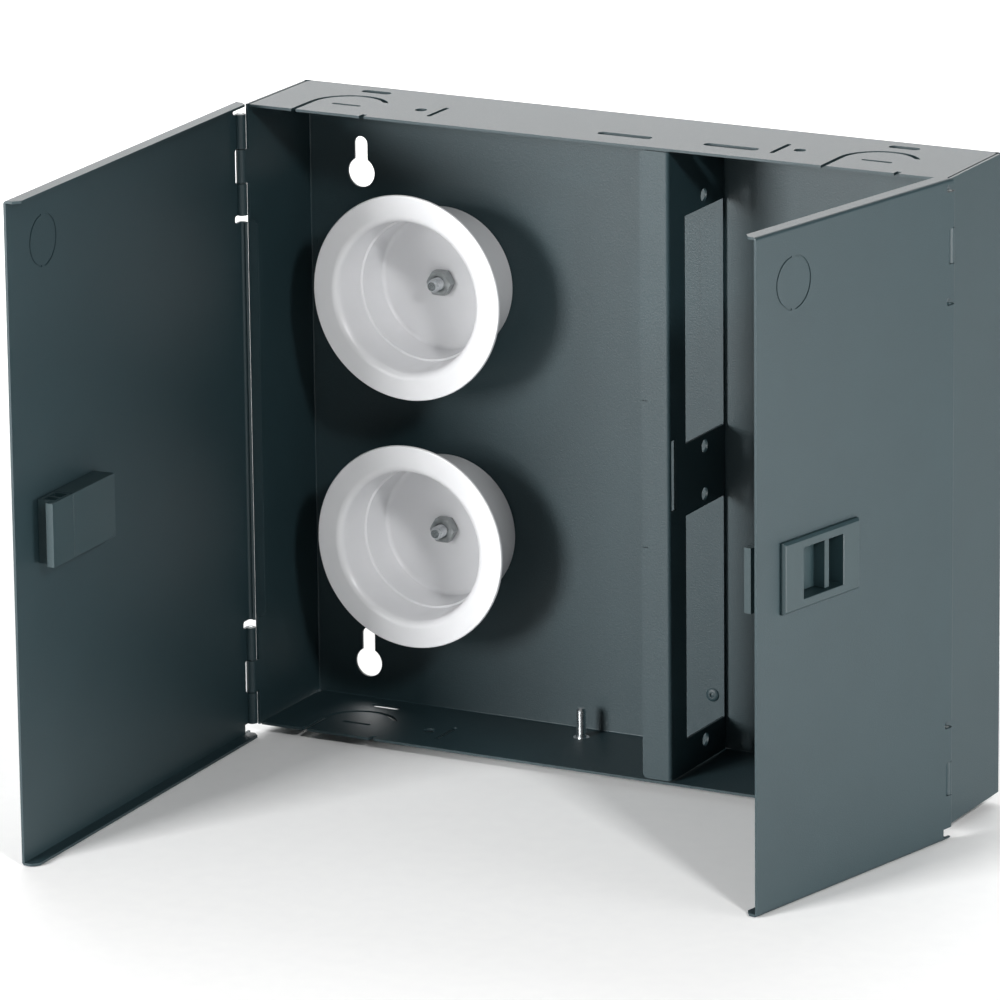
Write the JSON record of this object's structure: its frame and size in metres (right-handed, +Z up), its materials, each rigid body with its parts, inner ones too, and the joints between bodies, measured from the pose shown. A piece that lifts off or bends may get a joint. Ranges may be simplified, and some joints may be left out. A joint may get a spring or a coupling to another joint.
{
  "type": "fiber termination box",
  "caption": "Wall-mount fiber termination box: shallow folded-steel enclosure with a divider channel, fibre storage spools, a ground stud and unequal hinged doors with slide latches.",
  "frame": {"origin": "centre of the enclosure's back face, on the wall plane", "axes": "+Y points into the wall, +Z up, +X to the right of a person facing the box"},
  "size_m": [0.363, 0.2779, 0.3042],
  "materials": {
    "powder_coat": "fine-texture powder coat over folded sheet steel",
    "latch_plastic": "moulded plastic coloured to match the enclosure",
    "spool_plastic": "light grey moulded plastic, satin",
    "zinc_steel": "bright zinc-plated steel"
  },
  "bodies": {
    "enclosure": {"enclosure_body": "powder_coat", "divider": "powder_coat", "divider_rivets": "zinc_steel", "ground_stud": "zinc_steel", "spool_lower": "spool_plastic", "spool_upper": "spool_plastic", "spool_stud_lower": "zinc_steel", "spool_stud_upper": "zinc_steel", "spool_nut_lower": "zinc_steel", "spool_nut_upper": "zinc_steel"},
    "left_door": {"left_door": "powder_coat", "left_hinge_pin_lower": "zinc_steel", "left_hinge_pin_upper": "zinc_steel", "left_latch_housing": "latch_plastic"},
    "right_door": {"right_door": "powder_coat", "right_hinge_pin_lower": "zinc_steel", "right_hinge_pin_upper": "zinc_steel", "right_latch_housing": "latch_plastic"},
    "left_bolt": {"left_latch_bolt": "latch_plastic"},
    "right_bolt": {"right_latch_bolt": "latch_plastic"}
  },
  "joints": [
    {"name": "left_door_hinge", "type": "hinge", "parent": "enclosure", "child": "left_door", "pos_m": [-0.17905, -0.06135, 0], "axis": [0, 0, -1], "range_deg": [-88, 92]},
    {"name": "right_door_hinge", "type": "hinge", "parent": "enclosure", "child": "right_door", "pos_m": [0.17905, -0.06135, 0], "axis": [0, 0, 1], "range_deg": [-78, 102]},
    {"name": "left_bolt_slide", "type": "slide", "parent": "left_door", "child": "left_bolt", "axis": [0.0349, -0.9994, 0], "range_m": [0, 0.0072]},
    {"name": "right_bolt_slide", "type": "slide", "parent": "right_door", "child": "right_bolt", "axis": [-0.2079, -0.9781, 0], "range_m": [0, 0.0072]}
  ]
}
